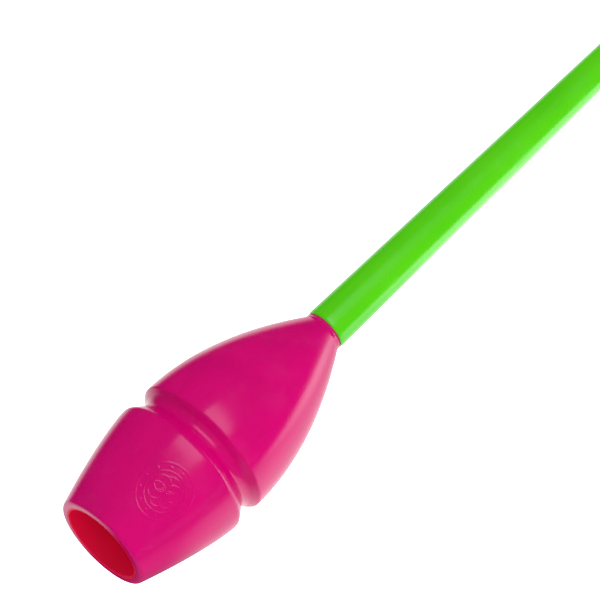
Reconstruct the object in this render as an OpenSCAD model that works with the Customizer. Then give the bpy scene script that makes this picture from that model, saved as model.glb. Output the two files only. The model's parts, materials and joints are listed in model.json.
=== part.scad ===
// Connectable gymnastics club: a hollow bulb with a socket in its mouth, a tapered neck and a ball head.
// Millimetres. Every piece is turned about the club's own axis, from the mouth (0) to the ball's end,
// and is then laid down as the club rests on a floor: on the bulb's lip and on the ball.
// Frame: origin under the middle of the lying club, floor at z = 0, the ball towards +X.

/* [Club] */
// Overall length, from the mouth to the ball's end
club_len = 450; // [375:1:540]

/* [Bulb] */
// Outside diameter of the barrel at its shoulder
shoulder_d = 69.2; // [62:0.1:84]
// Wall of the rim outside the cup's lip
rim_wall = 3.3; // [2.6:0.1:4.5]
// Distance from the mouth to the shoulder
shoulder_at = 48.6; // [40:0.1:60]
// Power of the barrel's swelling curve
barrel_power = 1.37; // [1.2:0.01:1.8]
// Depth of the groove below the shoulder
groove_depth = 4.6; // [3.6:0.1:5.4]
// Distance from the shoulder to the bottom of the groove
groove_step = 8.7; // [8.4:0.1:10]
// How far the lip behind the groove lies below the shoulder
lip_drop = 0.3; // [0:0.1:0.8]
// Distance from the bottom of the groove to the lip
lip_step = 6.3; // [6.2:0.1:8]
// Distance from the mouth to the seam between the bulb and the neck
seam_at = 140.2; // [118:0.1:170]
// Power of the nose's falling curve
nose_power = 1.9; // [1.7:0.01:2.1]
// Wall of the bulb's moulding
shell_wall = 2.4; // [1.8:0.1:3.2]

/* [Bulb edges] */
// Radius of the rim's outer edge
rim_edge = 2; // [1:0.1:2.4]
// Radius of the shoulder's edge
shoulder_edge = 3; // [2:0.1:3.4]
// Radius in the bottom of the groove
groove_fillet = 4.5; // [3.5:0.1:4.6]
// Radius of the lip's edge
lip_edge = 1.5; // [1:0.1:1.6]

/* [Collar and seam] */
// Length of the collar that takes the neck
collar_len = 2.6; // [2:0.1:8]
// Wall of the collar at the seam
collar_wall = 1.9; // [1.4:0.1:2.4]
// Depth of the small valley at the seam
seam_depth = 0.55; // [0.3:0.05:0.8]

/* [Socket] */
// Inside diameter of the mouth
mouth_d = 37.8; // [36:0.1:46]
// Radius of the mouth's inner edge
mouth_edge = 0.8; // [0.4:0.1:1]
// Wall of the cup at its lip
cup_lip_wall = 1.2; // [1.1:0.1:1.8]
// Length of the cup's lip that presses into the bulb's rim
cup_seat_len = 9; // [6:0.1:12]
// Wall of the cup behind its lip
cup_wall = 2.4; // [1.6:0.1:2.6]
// Length of the grip ring
ring_len = 10; // [8:0.1:11]
// Wall of the grip ring
ring_wall = 2.8; // [2:0.1:3]
// Lead-in on the two ends of the grip ring
ring_lead = 1; // [0.5:0.1:1.2]
// Squeeze of the ring on the ball, on the radius
ring_squeeze = 0.15; // [0.05:0.05:0.3]
// Room around the ball in the cup's seat
seat_clear = 0.55; // [0.3:0.05:0.8]

/* [Ball] */
// Diameter of the ball
ball_d = 29.5; // [24:0.1:30]
// Wall of the ball's cap
cap_wall = 2.5; // [1.6:0.1:3.5]
// Distance of the cap's seam in front of the ball's middle
cap_seam_step = 1; // [0:0.1:2]
// Fillet between the neck and the ball
ball_fillet = 1.5; // [0.8:0.1:2.5]

/* [Neck] */
// Diameter of the neck at the seam
neck_d = 20.1; // [17:0.1:25]
// Diameter of the neck at the ball
neck_end_d = 12.4; // [11:0.1:15]
// Length over which the neck's end rounds out of the seam
neck_edge = 2; // [0.6:0.1:3]
// Length of the spigot beyond the seam
spigot_len = 15; // [10:0.1:20]

/* [Core] */
// Thinnest wall of the neck around the core tube
sleeve_wall = 1.7; // [1.2:0.1:2.2]
// Wall of the core tube
tube_wall = 1; // [0.8:0.1:1.5]
// Distance from the tube's end to the cap's seam
tube_back = 4.25; // [3:0.05:8]
// Length of the ball core's stem in the tube
stem_len = 22; // [12:0.1:30]

/* [Bulkhead] */
// Thickness of the bulkhead's disc
disc_len = 3; // [2:0.1:4]
// Distance from the bottom of the groove to the ledge that stops the disc
ledge_back = 5.3; // [5:0.1:6]
// How far the pocket that centres the disc lies inside the shell's wall
pocket_drop = 1.6; // [1:0.1:2.4]
// Clearance around the disc, on the radius
disc_clear = 0.2; // [0.1:0.05:0.4]
// Wall of the shell in the bottom of the groove
groove_wall = 2.6; // [2:0.1:3.4]
// Wall of the hub around the tube
hub_wall = 3.5; // [2:0.1:4.5]
// Length of the hub in front of the disc
hub_front = 3; // [2:0.1:3.4]
// Wall between the screw's head and the tube
hub_web = 4; // [3:0.1:5]
// Depth of the hub's socket for the tube
hub_socket = 10; // [8:0.1:14]
// Number of lightening holes and of ribs
hole_count = 6; // [3:1:8]
// Diameter of the lightening holes
hole_d = 10; // [6:0.1:11]
// Thickness of the ribs
rib_w = 1.8; // [1.2:0.1:3]
// Height of the ribs
rib_h = 5; // [3:0.1:7]

/* [Screw] */
// Wall of the threaded insert around the screw
insert_wall = 1.5; // [0.9:0.1:1.8]
// Length of the screw under its head
screw_len = 16; // [14:0.1:20]
// How far the screw's head stands out around its shank
head_lip = 2; // [1:0.1:2.4]
// Height of the screw's head
head_h = 2.6; // [2:0.1:3]
// Room between the screw's head and the bottom of the cup
head_room = 3.5; // [1:0.1:5]
// Clearance of the screw in the hub, on the radius
screw_clear = 0.2; // [0.1:0.05:0.4]
// Depth of the key's socket in the head
key_depth = 1.6; // [1:0.1:1.8]
// Radius of the key's socket, across its corners
key_r = 1.4; // [1:0.1:2]
// How far the washer stands out around the head
washer_lip = 1; // [0.5:0.1:1.5]
// Thickness of the washer
washer_h = 0.8; // [0.5:0.1:1.2]
// Length of the threaded insert
insert_len = 12; // [8:0.1:16]

/* [Hidden] */
$fn = 96;
curve_step = 3;         // spacing of the points on the bulb's curves
arc_steps = 8;          // steps on each rounded edge
least_step = 0.2;       // least step between two neighbouring walls
overcut = 1;            // how far a cutter runs past the face it opens

// Places along the axis, from the mouth
groove_at = shoulder_at + groove_step;
lip_at = groove_at + lip_step;
collar_at = seam_at - collar_len;
ball_r = ball_d / 2;
ball_at = club_len - ball_r;
cap_seam_at = ball_at - cap_seam_step;
disc_end = groove_at - ledge_back;
hub_face = disc_end - disc_len - hub_front;
head_at = hub_face - washer_h - head_h;
tube_start = hub_face + hub_web;
tube_end = cap_seam_at - tube_back;

// Radii that fit one another
mouth_r = mouth_d / 2;
cup_lip_r = mouth_r + cup_lip_wall;
rim_r = cup_lip_r + rim_wall;
shoulder_r = shoulder_d / 2;
groove_r = shoulder_r - groove_depth;
lip_r = shoulder_r - lip_drop;
collar_r = neck_d / 2;
seam_r = collar_r - seam_depth;
spigot_r = seam_r - collar_wall;
end_r = neck_end_d / 2;
ring_bore_r = ball_r - ring_squeeze;
ring_r = ring_bore_r + ring_wall;
cup_r = ring_r + cup_wall;
seat_r = ball_r + seat_clear;
tube_r = end_r - sleeve_wall;
bore_r = tube_r - tube_wall;
screw_r = bore_r - insert_wall;
head_r = screw_r + head_lip;
hub_r = tube_r + hub_wall;
cap_in_r = ball_r - cap_wall;
pocket_r = shoulder_r - shell_wall - pocket_drop;
disc_r = pocket_r - disc_clear;
waist_r = groove_r - groove_wall;

// The socket ends in front of the screw's head, and the ring lies where the round seat is as narrow as its bore
seat_at = head_at - head_room - cup_wall - seat_r;
ring_end = seat_at + sqrt(pow(seat_r, 2) - pow(ring_bore_r, 2));
ring_start = ring_end - ring_len;

// Radius of the barrel, of the nose and of the nose's inner wall at a distance from the mouth
function barrel_r(at) = shoulder_r - (shoulder_r - rim_r) * pow(1 - at / shoulder_at, barrel_power);
function nose_part(at) = (at - lip_at) / (collar_at - lip_at);
function nose_r(at) = lip_r - (lip_r - collar_r) * pow(nose_part(at), nose_power);
function nose_slope(at) =
    (lip_r - collar_r) * nose_power * pow(nose_part(at), nose_power - 1) / (collar_at - lip_at);
function nose_in_r(at) = nose_r(at) - shell_wall * sqrt(1 + pow(nose_slope(at), 2));

// Points [radius, place] of an arc about [r, at], angles counted from the direction of the ball
function arc(r, at, rad, from, to) =
    [for (i = [0:arc_steps]) let (a = from + (to - from) * i / arc_steps) [r + rad * sin(a), at + rad * cos(a)]];

// Direction of the line that touches two rounds from opposite sides
function wall_angle(rise, run, rads) = asin(rads / norm([rise, run])) - atan2(rise, run);

// Outline of the bulb, from the rim's flat to the seam
rim_slope = atan((shoulder_r - rim_r) * barrel_power / shoulder_at);
rim_edge_r = barrel_r(rim_edge * (1 - sin(rim_slope))) - rim_edge * cos(rim_slope);
shoulder_c = shoulder_r - shoulder_edge;
groove_c = groove_r + groove_fillet;
lip_c = lip_r - lip_edge;
fall = wall_angle(groove_c - shoulder_c, groove_step, shoulder_edge + groove_fillet);
climb = wall_angle(groove_c - lip_c, lip_step, groove_fillet + lip_edge);
barrel_outline = [for (at = [curve_step:curve_step:shoulder_at - 0.1]) [barrel_r(at), at]];
nose_outline = [for (at = [lip_at + curve_step:curve_step:collar_at - 1]) [nose_r(at), at]];
bulb_outline = concat(
    arc(rim_edge_r, rim_edge, rim_edge, 180, 90 + rim_slope),
    barrel_outline,
    arc(shoulder_c, shoulder_at, shoulder_edge, 90, 90 - fall),
    arc(groove_c, groove_at, groove_fillet, 270 - fall, 270 + climb),
    arc(lip_c, lip_at, lip_edge, 90 + climb, 90),
    nose_outline,
    [[collar_r, collar_at], [seam_r, seam_at]]);

// Outline of the bulb's inner wall, from the seam back to the rim
hollow_nose = [for (at = [collar_at:-curve_step:lip_at + curve_step])
    if (nose_in_r(at) > spigot_r + least_step) [nose_in_r(at), at]];
hollow_barrel = [for (at = [hub_face:-curve_step:cup_seat_len + least_step])
    if (barrel_r(at) - shell_wall < pocket_r - least_step) [barrel_r(at) - shell_wall, at]];
hollow_outline = concat(
    [[spigot_r, seam_at], [spigot_r, hollow_nose[0][1] + 1]],
    hollow_nose,
    [[waist_r, lip_at - lip_edge], [waist_r, disc_end], [pocket_r, disc_end]],
    [[pocket_r, hollow_barrel[0][1] + curve_step / 2]],
    hollow_barrel,
    [[barrel_r(cup_seat_len) - shell_wall, cup_seat_len], [cup_lip_r, cup_seat_len], [cup_lip_r, 0]]);

// Neck: a straight taper, a small fillet and the ball's near half
fillet_at = ball_at - sqrt(pow(ball_r + ball_fillet, 2) - pow(end_r + ball_fillet, 2));
fillet_turn = acos((end_r + ball_fillet) / (ball_r + ball_fillet));
neck_outline = concat(
    [for (i = [0:arc_steps]) let (a = 90 * i / arc_steps)
        [seam_r + seam_depth * sin(a), seam_at + neck_edge * (1 - cos(a))]],
    arc(end_r + ball_fillet, fillet_at, ball_fillet, 270, 360 - fillet_turn));

// How the club lies: the floor's line touches the outline and the ball
rest_tilt = max([for (p = bulb_outline)
    acos(ball_r / norm([ball_at - p[1], p[0]])) - atan2(ball_at - p[1], p[0])]);
low_x = min([for (p = bulb_outline) p[1] * cos(rest_tilt) - p[0] * sin(rest_tilt)]);
high_x = ball_at * cos(rest_tilt) + ball_r;

module lay_down() {
    translate([-(low_x + high_x) / 2, 0, ball_r + ball_at * sin(rest_tilt)])
        rotate([0, 90 + rest_tilt, 0])
            children();
}

// A plain disc or tube from one place to another
module turned(from, to, r) {
    translate([0, 0, from])
        cylinder(h = to - from, r = r);
}

// Half of a ball, on the side of the club's end
module ball_half(r) {
    intersection() {
        translate([0, 0, ball_at])
            sphere(r = r);
        turned(cap_seam_at, ball_at + 2 * r, 2 * r);
    }
}

// Pink moulding: barrel, groove, nose and collar
module bulb_shell() {
    color([0.84, 0.0, 0.44])
        lay_down()
            rotate_extrude()
                polygon(concat(bulb_outline, hollow_outline));
}

// Funnel, ring pocket and round seat for another club's ball
module socket_cup() {
    color([0.70, 0.02, 0.22])
        lay_down()
            difference() {
                union() {
                    turned(0, cup_seat_len, cup_lip_r);
                    turned(cup_seat_len, ring_end + ring_lead, cup_r);
                    intersection() {
                        translate([0, 0, seat_at])
                            sphere(r = seat_r + cup_wall);
                        turned(ring_end, seat_at + 2 * seat_r, cup_r);
                    }
                }
                rotate_extrude()
                    polygon(concat(
                        [[0, -overcut], [mouth_r + mouth_edge, -overcut]],
                        arc(mouth_r + mouth_edge, mouth_edge, mouth_edge, 180, 270),
                        [[ring_bore_r + ring_lead, ring_start], [ring_r, ring_start], [ring_r, ring_end],
                         [0, ring_end]]));
                intersection() {
                    translate([0, 0, seat_at])
                        sphere(r = seat_r);
                    turned(ring_end - overcut, seat_at + 2 * seat_r, cup_r);
                }
            }
}

// Soft ring that holds the ball at its middle
module grip_ring() {
    color([0.25, 0.25, 0.27])
        lay_down()
            rotate_extrude()
                polygon([[ring_bore_r + ring_lead, ring_start], [ring_r, ring_start], [ring_r, ring_end],
                         [ring_bore_r + ring_lead / 2, ring_end], [ring_bore_r, ring_end - ring_lead / 2],
                         [ring_bore_r, ring_start + ring_lead]]);
}

// Ribbed disc that bears on the shell's ledge and holds the core tube
module bulkhead() {
    color([0.86, 0.86, 0.84])
        lay_down()
            difference() {
                union() {
                    turned(disc_end - disc_len, disc_end, disc_r);
                    turned(hub_face, tube_start + hub_socket, hub_r);
                    for (i = [0:hole_count - 1])
                        rotate([0, 0, 360 * (i + 0.5) / hole_count])
                            translate([0, -rib_w / 2, disc_end - disc_len])
                                cube([waist_r - 1, rib_w, disc_len + rib_h]);
                }
                turned(tube_start, tube_start + hub_socket + overcut, tube_r);
                turned(hub_face - overcut, tube_start + overcut, screw_r + screw_clear);
                for (i = [0:hole_count - 1])
                    rotate([0, 0, 360 * i / hole_count])
                        translate([(hub_r + disc_r) / 2, 0, disc_end - disc_len - overcut])
                            cylinder(h = disc_len + rib_h + 2 * overcut, d = hole_d);
            }
}

// Screw that pulls the core tube up to the bulkhead
module clamp_screw() {
    color([0.62, 0.63, 0.66])
        lay_down()
            difference() {
                union() {
                    turned(head_at, head_at + head_h, head_r);
                    turned(head_at + head_h - overcut, head_at + head_h + screw_len, screw_r);
                }
                translate([0, 0, head_at - overcut])
                    cylinder(h = key_depth + overcut, r = key_r, $fn = 6);
            }
}

module screw_washer() {
    color([0.72, 0.73, 0.75])
        lay_down()
            difference() {
                turned(hub_face - washer_h, hub_face, head_r + washer_lip);
                turned(hub_face - washer_h - overcut, hub_face + overcut, screw_r + screw_clear);
            }
}

// Brass insert fixed in the tube's end
module thread_insert() {
    color([0.80, 0.62, 0.25])
        lay_down()
            difference() {
                turned(tube_start, tube_start + insert_len, bore_r);
                turned(tube_start - overcut, tube_start + insert_len + overcut, screw_r);
            }
}

// Stiff tube from the bulkhead to the ball
module core_tube() {
    color([0.55, 0.57, 0.60])
        lay_down()
            difference() {
                turned(tube_start, tube_end, tube_r);
                turned(tube_start - overcut, tube_end + overcut, bore_r);
            }
}

// Green moulding over the tube: spigot, neck and the ball's near half
module neck_sleeve() {
    color([0.33, 0.82, 0.10])
        lay_down()
            difference() {
                union() {
                    turned(seam_at - spigot_len, seam_at, spigot_r);
                    rotate_extrude()
                        polygon(concat([[0, seam_at]], neck_outline, [[0, ball_at - ball_fillet]]));
                    difference() {
                        translate([0, 0, ball_at])
                            sphere(r = ball_r);
                        turned(cap_seam_at, ball_at + 2 * ball_r, 2 * ball_r);
                    }
                }
                turned(seam_at - spigot_len - overcut, cap_seam_at + overcut, tube_r);
            }
}

// Hard core of the ball, with a stem in the tube
module ball_core() {
    color([0.90, 0.90, 0.88])
        lay_down()
            union() {
                turned(tube_end - stem_len, tube_end, bore_r);
                turned(tube_end, cap_seam_at, tube_r);
                ball_half(cap_in_r);
            }
}

// Pink cap over the ball's far half
module ball_cap() {
    color([0.84, 0.0, 0.44])
        lay_down()
            difference() {
                ball_half(ball_r);
                translate([0, 0, ball_at])
                    sphere(r = cap_in_r);
            }
}

bulb_shell();
socket_cup();
grip_ring();
bulkhead();
clamp_screw();
screw_washer();
thread_insert();
core_tube();
neck_sleeve();
ball_core();
ball_cap();
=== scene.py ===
"""Connectable gymnastics club: the looks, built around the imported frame.

Every piece of the club is turned about one line, so most of the file is outlines in (radius, place along the
club) that one function carries round that line. The frame gives the line, the mouth, the ball and the floor.
"""

import json
import math

import bpy
import numpy as np
from mathutils import Euler, Matrix, Vector


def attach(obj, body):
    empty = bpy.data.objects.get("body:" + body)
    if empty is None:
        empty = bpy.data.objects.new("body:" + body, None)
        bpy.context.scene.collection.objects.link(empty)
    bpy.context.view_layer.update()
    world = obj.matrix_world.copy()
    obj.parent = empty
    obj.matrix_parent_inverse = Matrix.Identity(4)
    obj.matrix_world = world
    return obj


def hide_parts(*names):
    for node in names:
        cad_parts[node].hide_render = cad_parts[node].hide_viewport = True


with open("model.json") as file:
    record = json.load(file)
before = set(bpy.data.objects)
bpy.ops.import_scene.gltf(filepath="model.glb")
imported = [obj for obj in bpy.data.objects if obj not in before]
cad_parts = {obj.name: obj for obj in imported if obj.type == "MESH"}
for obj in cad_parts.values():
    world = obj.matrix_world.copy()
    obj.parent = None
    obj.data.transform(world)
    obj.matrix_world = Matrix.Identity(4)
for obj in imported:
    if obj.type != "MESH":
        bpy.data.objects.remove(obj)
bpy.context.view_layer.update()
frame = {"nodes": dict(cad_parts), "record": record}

bl_info = {
    "name": "Gymnastics club",
    "version": (1, 0, 0),
    "blender": (4, 5, 0),
    "location": "View3D > Sidebar > Club",
    "description": "Builds a connectable gymnastics club with a grooved bulb, a tapered neck and a ball head",
    "category": "Object",
}

MOUNTS = {mount["name"]: mount for mount in frame["record"]["mounts"]}
MM = 0.001
ROOT = "root"

# The club's line: ALONG points from the mouth to the ball, SIDE is level, UP is square to both
ALONG = -np.array(MOUNTS["ball_socket"]["axis"])
ALONG = ALONG / np.linalg.norm(ALONG)
SIDE = np.array([0.0, 1.0, 0.0])
UP = np.cross(ALONG, SIDE)
BALL = np.array(MOUNTS["ball_head"]["pos_m"])
BALL_AT = float((BALL - np.array(MOUNTS["mouth_rim"]["pos_m"])) @ ALONG)
MOUTH = BALL - BALL_AT * ALONG
BALL_R = float(BALL[2])


def reach(node):
    """Nearest and furthest place of a frame node along the club, and its largest radius, in metres."""
    mesh = frame["nodes"][node].data
    points = np.empty(len(mesh.vertices) * 3)
    mesh.vertices.foreach_get("co", points)
    points = points.reshape(-1, 3) - MOUTH
    place = points @ ALONG
    radius = np.linalg.norm(points - place[:, None] * ALONG, axis=1)
    return float(place.min()), float(place.max()), float(radius.max())


_, SEAM_AT, SHOULDER_R = reach("bulb_shell")
_, CUP_END, CUP_LIP_R = reach("socket_cup")
RING_START, RING_END, RING_R = reach("grip_ring")
TUBE_START, TUBE_END, TUBE_R = reach("core_tube")
CAP_SEAM_AT = reach("ball_cap")[0]
SPIGOT_START = reach("neck_sleeve")[0]
STEM_START = reach("ball_core")[0]


def length(name, text, value, low=0.0):
    """A property that holds a length, given in millimetres and kept in metres."""
    return bpy.props.FloatProperty(
        name=name, description=text, default=value * MM, min=low, unit="LENGTH", precision=5,
        subtype="DISTANCE")


def angle(name, text, degrees):
    """A property that holds an angle, given in degrees and kept in radians."""
    return bpy.props.FloatProperty(
        name=name, description=text, default=math.radians(degrees), subtype="ANGLE")


def whole(name, text, value):
    """A property that holds a count of at least three."""
    return bpy.props.IntProperty(name=name, description=text, default=value, min=3)


def colour(name, text, value):
    """A property that holds a linear colour."""
    return bpy.props.FloatVectorProperty(
        name=name, description=text, default=value, min=0.0, max=1.0, size=3, subtype="COLOR")


def number(name, text, value, low=0.0, high=1.0e6):
    """A property that holds a plain number."""
    return bpy.props.FloatProperty(name=name, description=text, default=value, min=low, max=high)


class ClubBulbSizes(bpy.types.PropertyGroup):
    """Sizes of the bulb's outline and of the emblem moulded on it."""

    rim_wall: length("Rim wall", "Wall of the rim outside the cup's lip", 3.3)
    rim_edge: length("Rim edge", "Radius of the rim's outer edge", 2.0)
    seam_edge: length("Seam edge", "Radius of the two small edges at the rim's seam", 0.12)
    shoulder_at: length("Shoulder", "Distance from the mouth to the shoulder", 48.6)
    shoulder_edge: length("Shoulder edge", "Radius of the shoulder's edge", 3.0)
    barrel_power: number("Barrel curve", "Power of the barrel's swelling curve", 1.37, 1.0, 3.0)
    groove_depth: length("Groove depth", "Depth of the groove below the shoulder", 4.6)
    groove_step: length("Groove step", "Distance from the shoulder to the bottom of the groove", 8.7)
    groove_fillet: length("Groove fillet", "Radius in the bottom of the groove", 4.5)
    lip_drop: length("Lip drop", "How far the lip behind the groove lies below the shoulder", 0.3)
    lip_step: length("Lip step", "Distance from the bottom of the groove to the lip", 6.3)
    lip_edge: length("Lip edge", "Radius of the lip's edge", 1.5)
    nose_power: number("Nose curve", "Power of the nose's falling curve", 1.9, 1.0, 3.0)
    collar_len: length("Collar length", "Length of the collar that takes the neck", 2.6)
    collar_fillet: length("Collar fillet", "Radius where the nose runs into the collar", 2.0)
    collar_wall: length("Collar wall", "Wall of the collar at the seam", 1.9)
    shell_wall: length("Shell wall", "Wall of the bulb's moulding", 2.4)
    groove_wall: length("Groove wall", "Wall in the bottom of the groove", 2.6)
    ledge_back: length("Ledge distance", "Distance from the bottom of the groove to the disc's ledge", 5.3)
    pocket_drop: length("Pocket drop", "How far the disc's pocket lies inside the shell's wall", 1.6)
    emblem_at: length("Emblem place", "Distance from the mouth to the middle of the emblem", 26.6)
    emblem_d: length("Emblem diameter", "Outside diameter of the moulded emblem", 26.0)
    emblem_rise: length("Emblem rise", "Height of the emblem's lines above the barrel", 0.14)
    emblem_turn: angle("Emblem turn", "Angle of the emblem round the club from its top", -21)


class ClubSocketSizes(bpy.types.PropertyGroup):
    """Sizes of the socket's cup and of the grip ring in it."""

    mouth_d: length("Mouth diameter", "Inside diameter of the mouth", 37.8)
    mouth_edge: length("Mouth edge", "Radius of the mouth's inner edge", 0.8)
    seat_len: length("Seat length", "Length of the cup's lip that presses into the rim", 9.0)
    cup_wall: length("Cup wall", "Wall of the cup behind its lip", 2.4)
    seat_clear: length("Seat clearance", "Room around the ball in the cup's seat", 0.55)
    ring_squeeze: length("Ring squeeze", "How far the ring is under the ball's radius", 0.15)
    ring_lead: length("Ring lead-in", "Lead-in at the front of the grip ring", 1.0)
    flute_depth: length("Flute depth", "Depth of the flutes in the ring's bore", 0.35)
    flutes: whole("Flutes", "Number of flutes in the ring", 24)


class ClubNeckSizes(bpy.types.PropertyGroup):
    """Sizes of the neck, the ball and the parts in them."""

    neck_d: length("Neck diameter", "Diameter of the neck at the seam", 20.1)
    neck_end_d: length("Neck end diameter", "Diameter of the neck at the ball", 12.4)
    neck_edge: length("Neck edge", "Length over which the neck rounds out of the seam", 2.0)
    seam_depth: length("Seam depth", "Depth of the small valley at the seam", 0.55)
    ball_fillet: length("Ball fillet", "Fillet between the neck and the ball", 1.5)
    cap_wall: length("Cap wall", "Wall of the ball's cap", 2.5)
    cap_edge: length("Cap edge", "Radius of the two small edges at the ball's seam", 0.18)
    cap_wobble: length("Cap wobble", "How far the ball's seam wanders along the club", 0.12)
    tube_wall: length("Tube wall", "Wall of the core tube", 1.0)


class ClubScrewSizes(bpy.types.PropertyGroup):
    """Sizes of the clamp screw, its washer and its insert."""

    insert_wall: length("Insert wall", "Wall of the threaded insert around the screw", 1.5)
    insert_len: length("Insert length", "Length of the threaded insert", 12.0)
    head_h: length("Head height", "Height of the screw's head", 2.6)
    key_depth: length("Key depth", "Depth of the key's socket in the head", 1.6)
    key_r: length("Key radius", "Radius of the key's socket, across its corners", 1.4)
    screw_clear: length("Screw clearance", "Clearance of the screw in the washer, on the radius", 0.2)
    pitch: length("Pitch", "Pitch of the screw's thread", 0.7)
    thread_depth: length("Thread depth", "Depth of the screw's thread", 0.36)
    knurl_depth: length("Knurl depth", "Depth of the grooves between the insert's knurls", 0.2)
    knurls: whole("Knurls", "Number of knurls round the insert", 36)


class ClubColours(bpy.types.PropertyGroup):
    """Colours of the club's finishes."""

    pink: colour("Pink", "Colour of the bulb and the ball's cap", (0.61, 0.0, 0.148))
    # The socket's colour is the pink thermoplastic tinted redder: a painted tint of the bounce light inside
    # the cup, not a lining of its own colour
    socket: colour("Socket", "Colour of the socket's lining", (0.85, 0.0, 0.05))
    green: colour("Green", "Colour of the neck", (0.089, 0.60, 0.0))
    rubber: colour("Rubber", "Colour of the grip ring", (0.30, 0.0, 0.05))
    natural: colour("Natural plastic", "Colour of the hidden mouldings", (0.70, 0.69, 0.65))
    aluminium: colour("Aluminium", "Colour of the core tube", (0.60, 0.61, 0.63))
    steel: colour("Steel", "Colour of the screw and the washer", (0.47, 0.48, 0.50))
    brass: colour("Brass", "Colour of the insert", (0.62, 0.42, 0.14))
    floor: colour("Floor", "Colour of the floor", (0.86, 0.86, 0.86))


class ClubStage(bpy.types.PropertyGroup):
    """Camera and lights."""

    azimuth: angle("Azimuth", "Direction of the camera round the club", -46.93)
    elevation: angle("Elevation", "Height of the camera as an angle", 66.92)
    distance: length("Distance", "Distance from the camera to the point it aims at", 3614.3)
    lens: bpy.props.FloatProperty(name="Lens", description="Focal length", default=500.0, unit="CAMERA")
    aim_along: length("Aim along", "Distance from the mouth to the point aimed at", 143.33)
    aim_side: length("Aim side", "Distance of that point from the club's line", 17.55)
    sky: number("Sky", "Brightness of the even light all round", 0.76)
    glow: number("Floor glow", "Brightness that the floor adds in reflections on the lit side", 1.35)
    far_glow: number("Far floor glow", "Brightness that it adds on the other side", 0.7)
    overhead: number("Overhead light", "Power of the overhead softbox in watts", 2.0)
    side: number("Side light", "Power of the side panel in watts", 13.0)


ARC_STEPS = 10


def arc(radius, place, bend, start, end, steps=ARC_STEPS):
    """Round edge: radius + bend*sin(a), place + bend*cos(a), with a from start to end in degrees."""
    a = np.radians(np.linspace(start, end, steps + 1))
    return np.column_stack([radius + bend * np.sin(a), place + bend * np.cos(a)])


def rounded(corners, steps=4):
    """Outline through corners (radius, place, bend). A corner with a bend is an arc tangent to its sides."""
    parts = []
    for i, (r, p, bend) in enumerate(corners):
        here = np.array([r, p])
        if bend == 0.0 or i in (0, len(corners) - 1):
            parts.append(here[None])
            continue
        back = np.array(corners[i - 1][:2]) - here
        onward = np.array(corners[i + 1][:2]) - here
        back_len, onward_len = np.linalg.norm(back), np.linalg.norm(onward)
        back, onward = back / back_len, onward / onward_len
        half = math.acos(max(-1.0, min(1.0, float(back @ onward)))) / 2
        cut = min(bend / math.tan(half), 0.49 * back_len, 0.49 * onward_len)
        bend = cut * math.tan(half)
        middle = here + (back + onward) / np.linalg.norm(back + onward) * bend / math.sin(half)
        first, last = here + back * cut - middle, here + onward * cut - middle
        t = np.linspace(0.0, 1.0, steps + 1)[:, None]
        sweep = math.pi - 2 * half
        parts.append(middle + (first * np.sin((1 - t) * sweep) + last * np.sin(t * sweep)) / math.sin(sweep))
    return np.concatenate(parts)


def spaced(outline, step):
    """The same outline with points added so that no stretch is longer than step."""
    ends = np.linalg.norm(np.diff(outline, axis=0), axis=1)
    travel = np.concatenate([[0.0], np.cumsum(ends)])
    extra = [np.linspace(a, b, int(math.ceil((b - a) / step)) + 1)[:-1]
             for a, b in zip(travel[:-1], travel[1:]) if b > a]
    at = np.concatenate(extra + [travel[-1:]])
    return np.column_stack([np.interp(at, travel, outline[:, 0]), np.interp(at, travel, outline[:, 1])])


def even_turn(count):
    """Angles of one full turn, count of them, without the last that would repeat the first."""
    return np.arange(count) * 2 * math.pi / count


def crowded_turn(middle, width, dense, sparse):
    """Angles of one full turn, with dense of them within width about middle and sparse over the rest."""
    near = middle - width / 2 + np.arange(dense) * width / dense
    rest = 2 * math.pi - width
    far = middle + width / 2 + np.arange(sparse) * rest / sparse
    return np.concatenate([near, far])


def turned_piece(name, outline, angles, looped, offset=None, shift=None):
    """A piece turned about the club's line.

    A point is mouth + (place + shift) * along + (radius + offset) * (cos(angle) * up + sin(angle) * side).
    A looped outline joins its last ring to its first. Otherwise both ends lie on the line, and each is one
    vertex with a fan of triangles. The sign of the outline's area sets which side is out.
    """
    radius = np.repeat(outline[:, :1], len(angles), axis=1)
    place = np.repeat(outline[:, 1:], len(angles), axis=1)
    if offset is not None:
        radius = radius + offset
    if shift is not None:
        place = place + shift
    ray = np.cos(angles)[:, None] * UP + np.sin(angles)[:, None] * SIDE
    rings = MOUTH + place[..., None] * ALONG + radius[..., None] * ray[None]
    count = len(angles)
    onward = (np.arange(count) + 1) % count
    if looped:
        points = rings.reshape(-1, 3)
        row = np.arange(len(outline))[:, None] * count
        next_row = np.roll(row, -1, axis=0)
    else:
        points = np.concatenate([rings[0, :1], rings[1:-1].reshape(-1, 3), rings[-1, :1]])
        row = 1 + np.arange(len(outline) - 3)[:, None] * count
        next_row = row + count
    column = np.arange(count)[None]
    quads = np.stack([row + column, row + onward[None], next_row + onward[None], next_row + column], axis=-1)
    quads = quads.reshape(-1, 4)
    fans = np.empty((0, 3), int)
    if not looped:
        last = len(points) - 1
        inner = last - count
        first_fan = np.stack([np.zeros(count, int), 1 + onward, 1 + np.arange(count)], axis=-1)
        last_fan = np.stack([np.full(count, last), inner + np.arange(count), inner + onward], axis=-1)
        fans = np.concatenate([first_fan, last_fan])
    following = np.roll(outline, -1, axis=0)
    area = np.sum(outline[:, 0] * following[:, 1] - outline[:, 1] * following[:, 0])
    if area > 0:
        quads, fans = quads[:, ::-1], fans[:, ::-1]
    return surface(name, points, quads, fans)


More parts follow.
